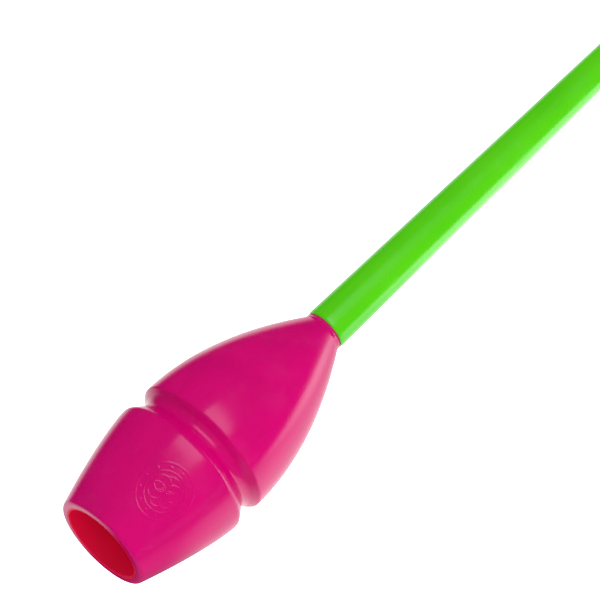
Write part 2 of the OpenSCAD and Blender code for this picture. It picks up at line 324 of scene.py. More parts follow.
def surface(name, points, quads, fans):
    """A smooth mesh object from whole arrays of points, four-sided and three-sided faces."""
    mesh = bpy.data.meshes.new(name)
    mesh.from_pydata(points.tolist(), [], quads.tolist() + fans.tolist())
    mesh.polygons.foreach_set("use_smooth", np.ones(len(mesh.polygons), bool))
    if mesh.validate():
        raise RuntimeError(f"{name} has a bad face")
    piece = bpy.data.objects.new(name, mesh)
    bpy.context.scene.collection.objects.link(piece)
    return piece


def settle(piece, node, finish):
    """Puts a piece in a frame node's stead, with its finish."""
    piece.data.materials.clear()
    piece.data.materials.append(finish)
    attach(piece, ROOT)
    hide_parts(node)


def finish_node(node, finish):
    """Gives a frame node that stays its finish."""
    slots = frame["nodes"][node].material_slots
    if not slots:
        frame["nodes"][node].data.materials.append(finish)
    for each in slots:
        each.material = finish


def barrel_radius(place, sizes, rim_r):
    """Barrel: shoulder radius - (shoulder radius - rim radius) * (1 - place / shoulder place) ^ power."""
    left = np.clip(1 - place / sizes.shoulder_at, 0.0, 1.0)
    return SHOULDER_R - (SHOULDER_R - rim_r) * left ** sizes.barrel_power


def nose_radius(place, sizes, lip_at, lip_r, collar_at, collar_r):
    """Nose: lip radius - (lip radius - collar radius) * (share of the way to the collar) ^ power."""
    share = (place - lip_at) / (collar_at - lip_at)
    return lip_r - (lip_r - collar_r) * share ** sizes.nose_power


def joining_line(rise, run, bends):
    """Angle, in degrees, of the wall that touches two opposite rounds whose radii add up to bends."""
    return math.degrees(math.asin(bends / math.hypot(rise, run)) - math.atan2(rise, run))


SEAM_LEAD = 1.2 * MM      # stretch of the rim's inner wall with which the outer outline begins
EMBLEM_MARGIN = 1 * MM    # how far the closely spaced rings reach past the emblem
EMBLEM_SPREAD = 1.2075    # width of the closely spaced angles, in widths of the emblem
DISC_AND_HUB = 6 * MM     # the bulkhead's disc with the hub in front of it
CURVE_STEP = 3 * MM       # step in which the CAD draws the shell's inner curves
BORE_LEAD = 1 * MM        # the collar's bore ends this far before the nose's inner wall begins


def bulb_outlines(sizes, cup_seat, collar_r, seam_r):
    """Outer outline of the bulb from the rim's seam to the neck's, and the inner one all the way back."""
    rim_r = CUP_LIP_R + sizes.rim_wall
    groove_at = sizes.shoulder_at + sizes.groove_step
    lip_at = groove_at + sizes.lip_step
    collar_at = SEAM_AT - sizes.collar_len
    lip_r = SHOULDER_R - sizes.lip_drop
    slope = math.atan((SHOULDER_R - rim_r) * sizes.barrel_power / sizes.shoulder_at)
    edge = sizes.rim_edge
    edge_r = float(barrel_radius(edge * (1 - math.sin(slope)), sizes, rim_r)) - edge * math.cos(slope)
    shoulder_c = SHOULDER_R - sizes.shoulder_edge
    groove_c = SHOULDER_R - sizes.groove_depth + sizes.groove_fillet
    lip_c = lip_r - sizes.lip_edge
    fall = joining_line(groove_c - shoulder_c, sizes.groove_step, sizes.shoulder_edge + sizes.groove_fillet)
    climb = joining_line(groove_c - lip_c, sizes.lip_step, sizes.groove_fillet + sizes.lip_edge)
    half = sizes.emblem_d / 2 + EMBLEM_MARGIN
    barrel = np.concatenate([
        np.linspace(edge, sizes.emblem_at - half, 22)[1:-1],
        np.linspace(sizes.emblem_at - half, sizes.emblem_at + half, 122),
        np.linspace(sizes.emblem_at + half, sizes.shoulder_at, 12)[1:-1]])
    nose = np.linspace(lip_at, collar_at - sizes.collar_fillet, 66)[1:]
    nose_r = nose_radius(nose, sizes, lip_at, lip_r, collar_at, collar_r)
    collar = rounded([(nose_r[-2], nose[-2], 0.0), (collar_r, collar_at, sizes.collar_fillet),
                      (seam_r, SEAM_AT, 0.0)], steps=10)
    outer = np.concatenate([
        rounded([(CUP_LIP_R, SEAM_LEAD, 0.0), (CUP_LIP_R, 0.0, sizes.seam_edge), (edge_r, 0.0, 0.0)],
                steps=6),
        arc(edge_r, edge, edge, 180, 90 + math.degrees(slope), 14)[1:],
        np.column_stack([barrel_radius(barrel, sizes, rim_r), barrel]),
        arc(shoulder_c, sizes.shoulder_at, sizes.shoulder_edge, 90, 90 - fall, 14),
        arc(groove_c, groove_at, sizes.groove_fillet, 270 - fall, 270 + climb, 24),
        arc(lip_c, lip_at, sizes.lip_edge, 90 + climb, 90, 14),
        np.column_stack([nose_r[:-2], nose[:-2]]),
        collar])
    inner_r = seam_r - sizes.collar_wall
    waist_r = SHOULDER_R - sizes.groove_depth - sizes.groove_wall
    pocket_r = SHOULDER_R - sizes.shell_wall - sizes.pocket_drop
    disc_end = groove_at - sizes.ledge_back
    back = np.linspace(collar_at, lip_at + CURVE_STEP, 40)
    share = (back - lip_at) / (collar_at - lip_at)
    steep = (lip_r - collar_r) * sizes.nose_power * share ** (sizes.nose_power - 1) / (collar_at - lip_at)
    back_r = nose_radius(back, sizes, lip_at, lip_r, collar_at, collar_r)
    back_r = back_r - sizes.shell_wall * np.sqrt(1 + steep ** 2)
    back, back_r = back[back_r > inner_r], back_r[back_r > inner_r]
    front = np.linspace(disc_end - DISC_AND_HUB, cup_seat, 14)
    front_r = barrel_radius(front, sizes, rim_r) - sizes.shell_wall
    front, front_r = front[front_r < pocket_r], front_r[front_r < pocket_r]
    inner = np.concatenate([
        [[inner_r, SEAM_AT], [inner_r, back[0] + BORE_LEAD]],
        np.column_stack([back_r, back]),
        [[waist_r, lip_at - sizes.lip_edge], [waist_r, disc_end], [pocket_r, disc_end],
         [pocket_r, front[0] + CURVE_STEP / 2]],
        np.column_stack([front_r, front]),
        [[CUP_LIP_R, front[-1]]]])
    return outer, inner


def stroke(distance, width):
    """Profile of one moulded line: 1 on the line, falling smoothly to 0 at width from it."""
    t = np.clip(1 - np.abs(distance) / width, 0.0, 1.0)
    return t * t * (3 - 2 * t)


# Circles in 26ths of the emblem's diameter: how many, distance from its middle, radius, half width of the line
EMBLEM = ((1, 0.0, 12.4, 0.6), (1, 0.0, 8.9, 0.45), (12, 10.65, 0.0, 0.95), (6, 3.6, 3.6, 0.42))


def emblem_height(along, around, size):
    """Emblem of plain geometry: two rings, a band of beads between them and a rosette of six circles inside.

    The height, from 0 to 1, is the highest stroke(distance to a circle's middle - its radius) of all circles.
    """
    unit = size / 26
    height = 0.0
    for number_of, out, radius, width in EMBLEM:
        for turn in even_turn(number_of):
            far = np.hypot(along - out * unit * np.cos(turn), around - out * unit * np.sin(turn))
            height = np.maximum(height, stroke(far - radius * unit, width * unit))
    return height


class CLUB_OT_bulb(bpy.types.Operator):
    """Make the bulb's moulding, with its groove, nose, collar and emblem"""

    bl_idname = "club.make_bulb"
    bl_label = "Make bulb"

    def execute(self, context):
        sizes = context.scene.club_bulb
        neck = context.scene.club_neck
        cup_seat = context.scene.club_socket.seat_len
        outer, inner = bulb_outlines(sizes, cup_seat, neck.neck_d / 2, neck.neck_d / 2 - neck.seam_depth)
        outline = np.concatenate([outer, inner])
        angles = crowded_turn(sizes.emblem_turn, EMBLEM_SPREAD * sizes.emblem_d / SHOULDER_R, 110, 124)
        away = (angles - sizes.emblem_turn + math.pi) % (2 * math.pi) - math.pi
        on_barrel = (outline[:, 1] < sizes.shoulder_at) & (np.arange(len(outline)) < len(outer))
        middle_r = outline[on_barrel][np.argmin(np.abs(outline[on_barrel][:, 1] - sizes.emblem_at)), 0]
        along = outline[:, 1:] - sizes.emblem_at
        relief = emblem_height(along, middle_r * away[None], sizes.emblem_d) * sizes.emblem_rise
        piece = turned_piece("bulb", outline, angles, True, offset=relief * on_barrel[:, None])
        settle(piece, "bulb_shell", pink_finish(context.scene.club_colours.pink))
        return {"FINISHED"}


FLUTE_LAND = 0.35         # height of the wave up to which the bore stays plain between two flutes
FLUTE_REACH = 1.6 * MM    # how far out from the bore the flutes fade to nothing


class CLUB_OT_socket(bpy.types.Operator):
    """Make the socket's cup and the grip ring in it"""

    bl_idname = "club.make_socket"
    bl_label = "Make socket"

    def execute(self, context):
        sizes = context.scene.club_socket
        bulb = context.scene.club_bulb
        mouth_r = sizes.mouth_d / 2
        bore_r = BALL_R - sizes.ring_squeeze
        seat_r = BALL_R + sizes.seat_clear
        seat_at = CUP_END - sizes.cup_wall - seat_r
        cup_r = RING_R + sizes.cup_wall
        tip_r = seat_r + sizes.cup_wall
        tip_from = math.degrees(math.acos((RING_END + sizes.ring_lead - seat_at) / tip_r))
        seat_from = math.degrees(math.acos((RING_END - seat_at) / seat_r))
        shell = rounded([
            (tip_r * math.sin(math.radians(tip_from)), RING_END + sizes.ring_lead, 0.0),
            (cup_r, RING_END + sizes.ring_lead, 0.4 * MM), (cup_r, sizes.seat_len, 0.2 * MM),
            (CUP_LIP_R, sizes.seat_len, 0.2 * MM), (CUP_LIP_R, 0.0, bulb.seam_edge),
            (mouth_r + sizes.mouth_edge, 0.0, 0.0)], steps=5)
        edge = arc(mouth_r + sizes.mouth_edge, sizes.mouth_edge, sizes.mouth_edge, 180, 270, 12)
        funnel = np.linspace([mouth_r, sizes.mouth_edge], [bore_r + sizes.ring_lead, RING_START], 40)
        pocket = rounded([
            (bore_r + sizes.ring_lead, RING_START, 0.0), (RING_R, RING_START, 0.15 * MM),
            (RING_R, RING_END, 0.15 * MM), (bore_r, RING_END, 0.0)])
        outline = np.concatenate([
            arc(0.0, seat_at, tip_r, 0, tip_from, 26), shell[1:], edge[1:], funnel[1:], pocket[1:],
            arc(0.0, seat_at, seat_r, seat_from, 0, 26)[1:]])
        cup = turned_piece("socket", outline, even_turn(216), False)
        # The cup's redder colour is painted bounce light on the same pink thermoplastic
        settle(cup, "socket_cup", bounce_tinted_socket_finish(context.scene.club_colours.socket))

        ring = rounded([
            (bore_r, (RING_START + RING_END) / 2, 0.0), (bore_r, RING_END - sizes.ring_lead / 2, 0.4 * MM),
            (bore_r + sizes.ring_lead / 2, RING_END, 0.2 * MM), (RING_R, RING_END, 0.25 * MM),
            (RING_R, RING_START, 0.25 * MM), (bore_r + sizes.ring_lead, RING_START, 0.3 * MM),
            (bore_r, RING_START + sizes.ring_lead, 0.5 * MM),
            (bore_r, (RING_START + RING_END) / 2, 0.0)])[:-1]
        angles = even_turn(288)
        flute = np.clip(np.cos(angles * sizes.flutes) - FLUTE_LAND, 0.0, 1.0) / (1 - FLUTE_LAND)
        inside = np.clip((bore_r + FLUTE_REACH - ring[:, :1]) / FLUTE_REACH, 0.0, 1.0)
        piece = turned_piece("grip", ring, angles, True, offset=sizes.flute_depth * flute[None] * inside)
        settle(piece, "grip_ring", rubber_finish(context.scene.club_colours.rubber))
        return {"FINISHED"}


SEAM_REACH = 1.5 * MM     # half width of the bell in which the ball's seam wanders


def seam_shift(outline, angles, sizes):
    """How far the ball's seam wanders: wobble * two slow waves round the turn * a bell about the seam."""
    waves = 0.65 * np.sin(2 * angles + 0.8) + 0.35 * np.sin(5 * angles + 2.1)
    near_seam = np.exp(-((outline[:, 1:] - CAP_SEAM_AT) / SEAM_REACH) ** 2)
    return sizes.cap_wobble * waves[None] * near_seam


class CLUB_OT_neck(bpy.types.Operator):
    """Make the neck's moulding with the near half of the ball"""

    bl_idname = "club.make_neck"
    bl_label = "Make neck"

    def execute(self, context):
        sizes = context.scene.club_neck
        seam_r = sizes.neck_d / 2 - sizes.seam_depth
        spigot_r = seam_r - context.scene.club_bulb.collar_wall
        end_r = sizes.neck_end_d / 2
        fillet = sizes.ball_fillet
        fillet_at = BALL_AT - math.sqrt((BALL_R + fillet) ** 2 - (end_r + fillet) ** 2)
        turn = math.degrees(math.acos((end_r + fillet) / (BALL_R + fillet)))
        a = np.linspace(0.0, math.pi / 2, 12)
        mouth = np.column_stack([seam_r + sizes.seam_depth * np.sin(a),
                                 SEAM_AT + sizes.neck_edge * (1 - np.cos(a))])
        taper = np.linspace(mouth[-1], [end_r, fillet_at], 110)
        root = arc(end_r + fillet, fillet_at, fillet, 270, 360 - turn, 14)
        cut = math.degrees(math.acos((CAP_SEAM_AT - BALL_AT) / BALL_R))
        ball = arc(0.0, BALL_AT, BALL_R, 180 - (90 - turn), cut, 40)
        face = rounded([
            tuple(ball[-2]) + (0.0,), (ball[-1][0], CAP_SEAM_AT, sizes.cap_edge),
            (TUBE_R, CAP_SEAM_AT, 0.2 * MM), (TUBE_R, SPIGOT_START, 0.3 * MM),
            (spigot_r, SPIGOT_START, 0.8 * MM), (spigot_r, SEAM_AT, 0.0)], steps=5)
        outline = np.concatenate([mouth, taper[1:], root[1:], ball[1:-2], face])
        angles = even_turn(160)
        piece = turned_piece("neck", outline, angles, True, shift=seam_shift(outline, angles, sizes))
        settle(piece, "neck_sleeve", green_finish(context.scene.club_colours.green))
        return {"FINISHED"}


class CLUB_OT_ball(bpy.types.Operator):
    """Make the ball's cap and the hard core under it"""

    bl_idname = "club.make_ball"
    bl_label = "Make ball"

    def execute(self, context):
        sizes = context.scene.club_neck
        colours = context.scene.club_colours
        core_r = BALL_R - sizes.cap_wall
        cut = math.degrees(math.acos((CAP_SEAM_AT - BALL_AT) / BALL_R))
        core_cut = math.degrees(math.acos((CAP_SEAM_AT - BALL_AT) / core_r))
        outside = arc(0.0, BALL_AT, BALL_R, 0, cut, 48)
        inside = arc(0.0, BALL_AT, core_r, core_cut, 0, 36)
        face = rounded([
            tuple(outside[-2]) + (0.0,), (outside[-1][0], CAP_SEAM_AT, sizes.cap_edge),
            (inside[0][0], CAP_SEAM_AT, 0.1 * MM), tuple(inside[1]) + (0.0,)], steps=5)
        outline = np.concatenate([outside[:-2], face, inside[2:]])
        angles = even_turn(200)
        cap = turned_piece("cap", outline, angles, False, shift=seam_shift(outline, angles, sizes))
        settle(cap, "ball_cap", pink_finish(colours.pink))

        bore_r = TUBE_R - sizes.tube_wall
        dome = arc(0.0, BALL_AT, core_r, 0, core_cut, 36)
        stem = rounded([
            tuple(dome[-2]) + (0.0,), (dome[-1][0], CAP_SEAM_AT, 0.1 * MM), (TUBE_R, CAP_SEAM_AT, 0.2 * MM),
            (TUBE_R, TUBE_END, 0.2 * MM), (bore_r, TUBE_END, 0.1 * MM), (bore_r, STEM_START, 0.8 * MM),
            (0.0, STEM_START, 0.0)], steps=5)
        core = turned_piece("core", np.concatenate([dome[:-2], stem]), even_turn(120), False)
        settle(core, "ball_core", natural_finish(colours.natural))
        return {"FINISHED"}


WALL_TOLERANCE = 0.05 * MM    # points of the insert this close to its outer radius are knurled


class CLUB_OT_core(bpy.types.Operator):
    """Make the core tube with its insert, clamp screw and washer, and finish the bulkhead"""

    bl_idname = "club.make_core"
    bl_label = "Make core"

    def execute(self, context):
        sizes = context.scene.club_screw
        colours = context.scene.club_colours
        bore_r = TUBE_R - context.scene.club_neck.tube_wall
        screw_r = bore_r - sizes.insert_wall
        head_from, screw_end, head_r = reach("clamp_screw")
        washer_from, washer_to, washer_r = reach("screw_washer")

        tube = rounded([
            (TUBE_R, (TUBE_START + TUBE_END) / 2, 0.0), (TUBE_R, TUBE_START, 0.2 * MM),
            (bore_r, TUBE_START, 0.15 * MM), (bore_r, TUBE_END, 0.15 * MM), (TUBE_R, TUBE_END, 0.2 * MM),
            (TUBE_R, (TUBE_START + TUBE_END) / 2 + 1 * MM, 0.0)])
        piece = turned_piece("tube", spaced(tube, 6 * MM), even_turn(96), True)
        settle(piece, "core_tube", aluminium_finish(colours.aluminium))

        insert_end = TUBE_START + sizes.insert_len
        insert = rounded([
            (bore_r, (TUBE_START + insert_end) / 2, 0.0), (bore_r, TUBE_START, 0.3 * MM),
            (screw_r, TUBE_START, 0.3 * MM), (screw_r, insert_end, 0.3 * MM), (bore_r, insert_end, 0.3 * MM),
            (bore_r, (TUBE_START + insert_end) / 2 + 0.1 * MM, 0.0)])
        insert = spaced(insert, 0.35 * MM)
        angles = even_turn(sizes.knurls * 6)
        ridge = 0.5 + 0.5 * np.cos(angles * sizes.knurls)
        outside = insert[:, :1] > bore_r - WALL_TOLERANCE
        piece = turned_piece("insert", insert, angles, True,
                             offset=-sizes.knurl_depth * (1 - ridge)[None] * outside)
        settle(piece, "thread_insert", brass_finish(colours.brass))

        middle_r = (head_r + screw_r + sizes.screw_clear) / 2
        washer = rounded([
            (washer_r, (washer_from + washer_to) / 2, 0.0), (washer_r, washer_from, 0.25 * MM),
            (middle_r, washer_from, 0.0), (screw_r + sizes.screw_clear, washer_from, 0.1 * MM),
            (screw_r + sizes.screw_clear, washer_to, 0.1 * MM), (washer_r, washer_to, 0.15 * MM),
            (washer_r, (washer_from + washer_to) / 2 + 0.05 * MM, 0.0)])
        piece = turned_piece("washer", washer, even_turn(96), True)
        settle(piece, "screw_washer", steel_finish(colours.steel))

        piece = clamp_screw(sizes, head_from, screw_end, head_r, screw_r)
        settle(piece, "clamp_screw", steel_finish(colours.steel))
        finish_node("bulkhead", natural_finish(colours.natural))
        return {"FINISHED"}


RELIEF = 0.6 * MM    # plain stretch of the shank under the head
RUN_IN = 1.2 * MM    # length over which the thread deepens
TIP = 0.5 * MM       # bevel of the shank's end
TINY = 1e-9          # tolerance for telling whether a point lies on a radius


def clamp_screw(sizes, head_from, screw_end, head_r, screw_r):
    """Pan-headed screw: a turned head with a six-sided key socket and a shank with a cut thread.

    In the socket the radius follows a hexagon: key radius * cos(30) / cos(angle to a side's middle).
    On the shank it falls by a pointed wave of (place / pitch - angle / full turn), fading out under the head.
    """
    under = head_from + sizes.head_h
    floor_at = head_from + sizes.key_depth
    flat_r = sizes.key_r * math.cos(math.pi / 6)
    key = spaced(np.array([[0.0, floor_at], [flat_r, floor_at], [flat_r, head_from]]), 0.2 * MM)
    head = rounded([
        (flat_r, head_from, 0.0), (head_r, head_from, 1.1 * MM), (head_r, under, 0.2 * MM),
        (screw_r, under, 0.15 * MM), (screw_r, under + RELIEF, 0.0)], steps=8)
    shank_at = np.linspace(under + RELIEF, screw_end - TIP, 200)
    shank = np.column_stack([np.full_like(shank_at, screw_r), shank_at])
    end = np.array([[screw_r - TIP, screw_end], [0.0, screw_end]])
    outline = np.concatenate([key, head[1:], shank[1:], end])[::-1]
    angles = even_turn(120)
    nearest = (angles + math.pi / 6) % (math.pi / 3) - math.pi / 6
    hexagon = flat_r * (1 / np.cos(nearest) - 1)
    in_key = (outline[:, 1:] <= floor_at) & (outline[:, :1] <= flat_r + TINY)
    offset = hexagon[None] * in_key * (outline[:, :1] / flat_r)
    wave = outline[:, 1:] / sizes.pitch - angles[None] / (2 * math.pi)
    cut = 2 * np.abs(wave - np.round(wave))
    run_in = np.clip((outline[:, 1:] - under - RELIEF) / RUN_IN, 0.0, 1.0)
    on_shank = (np.abs(outline[:, :1] - screw_r) < TINY) & (outline[:, 1:] > under)
    offset = offset - sizes.thread_depth * cut * run_in * on_shank
    return turned_piece("screw", outline, angles, False, offset=offset)


# Finishes. Shared effects are node groups. Each finish keeps its own shader.

class Net:
    """A node tree with short ways to add a node and to join two sockets."""

    def __init__(self, tree):
        self.tree = tree

    def add(self, kind, **values):
        """Adds a node. A value named by a socket goes into that socket, any other into the node itself."""
        node = self.tree.nodes.new(kind)
        for name, value in values.items():
            socket = node.inputs.get(name.replace("_", " "))
            if socket is not None:
                socket.default_value = value
            else:
                setattr(node, name, value)
        return node

    def join(self, out, into):
        """Links one output socket to one input socket."""
        self.tree.links.new(out, into)

    def maths(self, operation, first, second=0.0):
        """A maths node on one or two sockets or numbers, returning its output socket."""
        node = self.tree.nodes.new("ShaderNodeMath")
        node.operation = operation
        for socket, value in zip(node.inputs, (first, second)):
            if isinstance(value, (int, float)):
                socket.default_value = value
            else:
                self.join(value, socket)
        return node.outputs[0]

    def ramp(self, value, low, high, to_low=0.0, to_high=1.0):
        """Maps a socket's value smoothly from low..high to to_low..to_high."""
        node = self.add("ShaderNodeMapRange", interpolation_type="SMOOTHSTEP")
        for name, amount in (("From Min", low), ("From Max", high), ("To Min", to_low), ("To Max", to_high)):
            node.inputs[name].default_value = amount
        self.join(value, node.inputs["Value"])
        return node.outputs["Result"]

    def noise(self, vector, scale, detail=2.0, roughness=0.5, distortion=0.0, stretch=(1.0, 1.0, 1.0)):
        """Noise along a vector that is first stretched, returning the value's socket."""
        mapping = self.add("ShaderNodeMapping")
        mapping.inputs["Scale"].default_value = stretch
        self.join(vector, mapping.inputs["Vector"])
        node = self.add("ShaderNodeTexNoise", Scale=scale, Detail=detail, Roughness=roughness,
                        Distortion=distortion)
        self.join(mapping.outputs["Vector"], node.inputs["Vector"])
        return node.outputs["Fac"]

    def tint(self, factor, first, second):
        """Mixes two colours, sockets or plain, by a factor socket."""
        node = self.add("ShaderNodeMix", data_type="RGBA", blend_type="MIX")
        self.join(factor, node.inputs[0])
        for socket, value in ((node.inputs[6], first), (node.inputs[7], second)):
            if isinstance(value, tuple):
                socket.default_value = value + (1.0,)
            else:
                self.join(value, socket)
        return node.outputs[2]


VECTOR, COLOUR, VALUE = "NodeSocketVector", "NodeSocketColor", "NodeSocketFloat"


def node_group(name, inputs, outputs):
    """A node group that is built once: returns it and, when it is new, its net and its two end nodes."""
    if name in bpy.data.node_groups:
        return bpy.data.node_groups[name], None, None, None
    group = bpy.data.node_groups.new(name, "ShaderNodeTree")
    for label, kind, default in inputs:
        socket = group.interface.new_socket(name=label, in_out="INPUT", socket_type=kind)
        if default is not None:
            socket.default_value = default
    for label, kind in outputs:
        group.interface.new_socket(name=label, in_out="OUTPUT", socket_type=kind)
    net = Net(group)
    return group, net, net.add("NodeGroupInput"), net.add("NodeGroupOutput")


def moulded_skin():
    """Skin of a moulding: slow mottling of the colour, fine streaks along the flow and a fine grain."""
    group, net, start, end = node_group(
        "Moulded skin",
        [("Vector", VECTOR, None), ("Colour", COLOUR, None), ("Deep colour", COLOUR, None),
         ("Mottle", VALUE, 0.3), ("Streak", VALUE, 0.3), ("Grain", VALUE, 0.5)],
        [("Colour", COLOUR), ("Height", VALUE)])
    if net is None:
        return group
    vector = start.outputs["Vector"]
    slow = net.ramp(net.noise(vector, 38.0, 3.0), 0.35, 0.68)
    streak = net.ramp(net.noise(vector, 260.0, 3.0, 0.6, stretch=(1.0, 1.0, 0.09)), 0.5, 0.78)
    share = net.maths("ADD", net.maths("MULTIPLY", slow, start.outputs["Mottle"]),
                      net.maths("MULTIPLY", streak, start.outputs["Streak"]))
    net.join(net.tint(share, start.outputs["Colour"], start.outputs["Deep colour"]), end.inputs["Colour"])
    grain = net.maths("MULTIPLY", net.noise(vector, 2600.0, 2.0), start.outputs["Grain"])
    swell = net.maths("MULTIPLY", net.noise(vector, 120.0, 2.0), 2.2)
    net.join(net.maths("ADD", grain, swell), end.inputs["Height"])
    return group


def handling_marks():
    """Marks of use: hairline scratches in patches, and soft smudges."""
    group, net, start, end = node_group(
        "Handling marks", [("Vector", VECTOR, None), ("Scratches", VALUE, 0.5), ("Smudges", VALUE, 0.5)],
        [("Mask", VALUE), ("Scratch", VALUE)])
    if net is None:
        return group
    vector = start.outputs["Vector"]
    hair = net.noise(vector, 75.0, 1.0, 0.4, 1.6, stretch=(1.0, 1.0, 0.35))
    off_line = net.maths("ABSOLUTE", net.maths("SUBTRACT", hair, 0.5))
    line = net.ramp(off_line, 0.0, 0.004, 1.0, 0.0)
    patch = net.ramp(net.noise(vector, 55.0, 2.0), 0.52, 0.66)
    scratch = net.maths("MULTIPLY", net.maths("MULTIPLY", line, patch), start.outputs["Scratches"])
    smudge = net.maths("MULTIPLY", net.ramp(net.noise(vector, 60.0, 4.0, 0.6, 0.5), 0.45, 0.72),
                       start.outputs["Smudges"])
    net.join(net.maths("MAXIMUM", scratch, smudge), end.inputs["Mask"])
    net.join(scratch, end.inputs["Scratch"])
    return group


def turned_metal():
    """Fine rings that a lathe or a drawing die leaves, round the club's line or along it."""
    group, net, start, end = node_group(
        "Turned metal", [("Vector", VECTOR, None), ("Rings", VALUE, 1.0), ("Lines", VALUE, 0.0)],
        [("Mask", VALUE)])
    if net is None:
        return group
    vector = start.outputs["Vector"]
    rings = net.noise(vector, 5200.0, 2.0, 0.6, stretch=(0.02, 0.02, 1.0))
    lines = net.noise(vector, 3800.0, 2.0, 0.6, stretch=(1.0, 1.0, 0.01))
    net.join(net.maths("ADD", net.maths("MULTIPLY", rings, start.outputs["Rings"]),
                       net.maths("MULTIPLY", lines, start.outputs["Lines"])), end.inputs["Mask"])
    return group


def fresh_finish(name, roughness, **constants):
    """A material, its net and its shader. The last two are None when the material is there already."""
    if name in bpy.data.materials:
        return bpy.data.materials[name], None, None
    finish = bpy.data.materials.new(name)
    finish.use_nodes = True
    net = Net(finish.node_tree)
    shader = finish.node_tree.nodes["Principled BSDF"]
    shader.inputs["Roughness"].default_value = roughness
    for label, value in constants.items():
        shader.inputs[label.replace("_", " ")].default_value = value
    return finish, net, shader


def club_vector(net):
    """Object coordinates turned so that Z runs along the club from the middle of its mouth."""
    tip = math.atan2(-ALONG[2], ALONG[0])
    turn = Euler((0.0, -math.pi / 2 - tip, 0.0))
    where = net.add("ShaderNodeTexCoord")
    mapping = net.add("ShaderNodeMapping", vector_type="POINT")
    mapping.inputs["Rotation"].default_value = turn
    mapping.inputs["Location"].default_value = -(turn.to_matrix() @ Vector(MOUTH))
    net.join(where.outputs["Object"], mapping.inputs["Vector"])
    return mapping.outputs["Vector"]


def place_group(net, group, vector, **values):
    """Places a node group in a finish with that finish's own values."""
    node = net.add("ShaderNodeGroup")
    node.node_tree = group
    net.join(vector, node.inputs["Vector"])
    for label, value in values.items():
        node.inputs[label.replace("_", " ")].default_value = value
    return node


def bump(net, shader, height, distance, strength=1.0):
    """Feeds a height into the shader's normal."""
    node = net.add("ShaderNodeBump", Strength=strength, Distance=distance)
    net.join(height, node.inputs["Height"])
    net.join(node.outputs["Normal"], shader.inputs["Normal"])


def moulding(name, shade, deepen, smooth, rough, mottle, streak, grain, scratches, smudges, **constants):
    """A moulded plastic: skin and marks of use, with roughness running from smooth to rough over the marks.

    The skin's deep colour is the shade times deepen, one factor or three.
    """
    finish, net, shader = fresh_finish(name, smooth, IOR=1.5, **constants)
    if net is None:
        return finish
    vector = club_vector(net)
    deep = tuple(float(part) for part in np.multiply(shade, deepen))
    skin = place_group(net, moulded_skin(), vector, Colour=tuple(shade) + (1.0,), Deep_colour=deep + (1.0,),
                       Mottle=mottle, Streak=streak, Grain=grain)
    marks = place_group(net, handling_marks(), vector, Scratches=scratches, Smudges=smudges)
    net.join(skin.outputs["Colour"], shader.inputs["Base Color"])
    net.join(net.ramp(marks.outputs["Mask"], 0.0, 1.0, smooth, rough), shader.inputs["Roughness"])
    height = net.maths("SUBTRACT", skin.outputs["Height"],
                       net.maths("MULTIPLY", marks.outputs["Scratch"], 0.8))
    bump(net, shader, height, 0.006 * MM)
    return finish


def pink_finish(shade):
    """Magenta thermoplastic with a satin gloss."""
    return moulding("pink_plastic", shade, 0.78, smooth=0.17, rough=0.30, mottle=0.35, streak=0.30, grain=0.6,
                    scratches=0.7, smudges=0.6, Specular_IOR_Level=0.31)


def bounce_tinted_socket_finish(shade):
    """The same thermoplastic inside the socket, duller from use. Its colour is the pink tinted redder, a
    painted tint of the light that bounces among the cup's pink walls.
    """
    return moulding("socket_plastic_bounce_tint", shade, 0.78, smooth=0.40, rough=0.55, mottle=0.4, streak=0.5, grain=0.8,
                    scratches=1.0, smudges=1.0, Specular_IOR_Level=0.12)


def green_finish(shade):
    """Lime thermoplastic with a soft satin skin for the hand."""
    return moulding("green_plastic", shade, (0.72, 0.90, 1.0), smooth=0.24, rough=0.34, mottle=0.45,
                    streak=0.25, grain=1.1, scratches=0.6, smudges=0.8, Specular_IOR_Level=0.45)


def rubber_finish(shade):
    """Matt elastomer of the grip ring."""
    return moulding("grip_elastomer", shade, 0.7, smooth=0.58, rough=0.75, mottle=0.4, streak=0.2, grain=2.5,
                    scratches=0.3, smudges=1.0)


def natural_finish(shade):
    """Uncoloured plastic of the hidden mouldings."""
    return moulding("natural_plastic", shade, 0.88, smooth=0.42, rough=0.55, mottle=0.5, streak=0.5,
                    grain=1.2, scratches=0.3, smudges=0.5)


def metal(name, shade, smooth, rough, rings, lines, depth):
    """A bare metal with the fine marks of its making in colour, roughness and relief."""
    finish, net, shader = fresh_finish(name, smooth, Metallic=1.0)
    if net is None:
        return finish
    vector = club_vector(net)
    made = place_group(net, turned_metal(), vector, Rings=rings, Lines=lines).outputs["Mask"]
    marks = place_group(net, handling_marks(), vector, Scratches=0.8, Smudges=0.7).outputs["Mask"]
    dull = tuple(part * 0.8 for part in shade)
    net.join(net.tint(net.ramp(made, 0.3, 0.7), tuple(shade), dull), shader.inputs["Base Color"])
    net.join(net.ramp(net.maths("MAXIMUM", made, marks), 0.3, 0.9, smooth, rough), shader.inputs["Roughness"])
    bump(net, shader, made, depth)
    return finish


def aluminium_finish(shade):
    """Drawn aluminium tube, marked along its length."""
    return metal("drawn_aluminium", shade, smooth=0.28, rough=0.45, rings=0.0, lines=1.0, depth=0.004 * MM)


def steel_finish(shade):
    """Zinc-plated steel."""
    return metal("plated_steel", shade, smooth=0.24, rough=0.42, rings=0.6, lines=0.1, depth=0.003 * MM)


def brass_finish(shade):
    """Turned brass."""
    return metal("turned_brass", shade, smooth=0.22, rough=0.38, rings=1.0, lines=0.0, depth=0.004 * MM)
